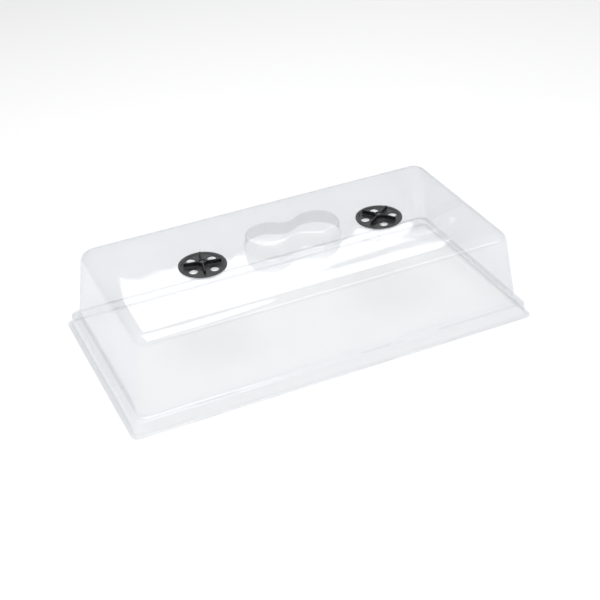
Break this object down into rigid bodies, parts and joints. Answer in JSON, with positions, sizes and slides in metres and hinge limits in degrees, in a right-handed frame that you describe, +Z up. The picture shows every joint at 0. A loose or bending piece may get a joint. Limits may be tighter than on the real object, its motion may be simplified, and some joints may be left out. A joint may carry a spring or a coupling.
{
  "type": "humidity dome",
  "caption": "Clear thermoformed cover for a seed tray, with drafted walls, a stepped rim, a raised waisted grip on the roof and round turning air vents.",
  "frame": {"origin": "centre of the rim's underside, which is the plane the dome stands on", "axes": "+X along the long side, +Y across, +Z up through the roof"},
  "size_m": [0.54, 0.276, 0.138],
  "materials": {
    "clear_sheet": "clear formed sheet, glossy",
    "black_plastic": "moulded black plastic, satin",
    "grey_plastic": "moulded dark grey plastic, satin"
  },
  "bodies": {
    "dome": {"dome_shell": "clear_sheet", "left_vent_rivet": "grey_plastic", "left_vent_washer": "black_plastic", "right_vent_rivet": "grey_plastic", "right_vent_washer": "black_plastic"},
    "left_dial": {"left_vent_dial": "black_plastic"},
    "right_dial": {"right_vent_dial": "black_plastic"}
  },
  "joints": [
    {"name": "left_vent_turn", "type": "hinge", "parent": "dome", "child": "left_dial", "pos_m": [-0.121, 0, 0.118], "axis": [0, 0, 1], "continuous": true},
    {"name": "right_vent_turn", "type": "hinge", "parent": "dome", "child": "right_dial", "pos_m": [0.121, 0, 0.118], "axis": [0, 0, 1], "continuous": true}
  ]
}
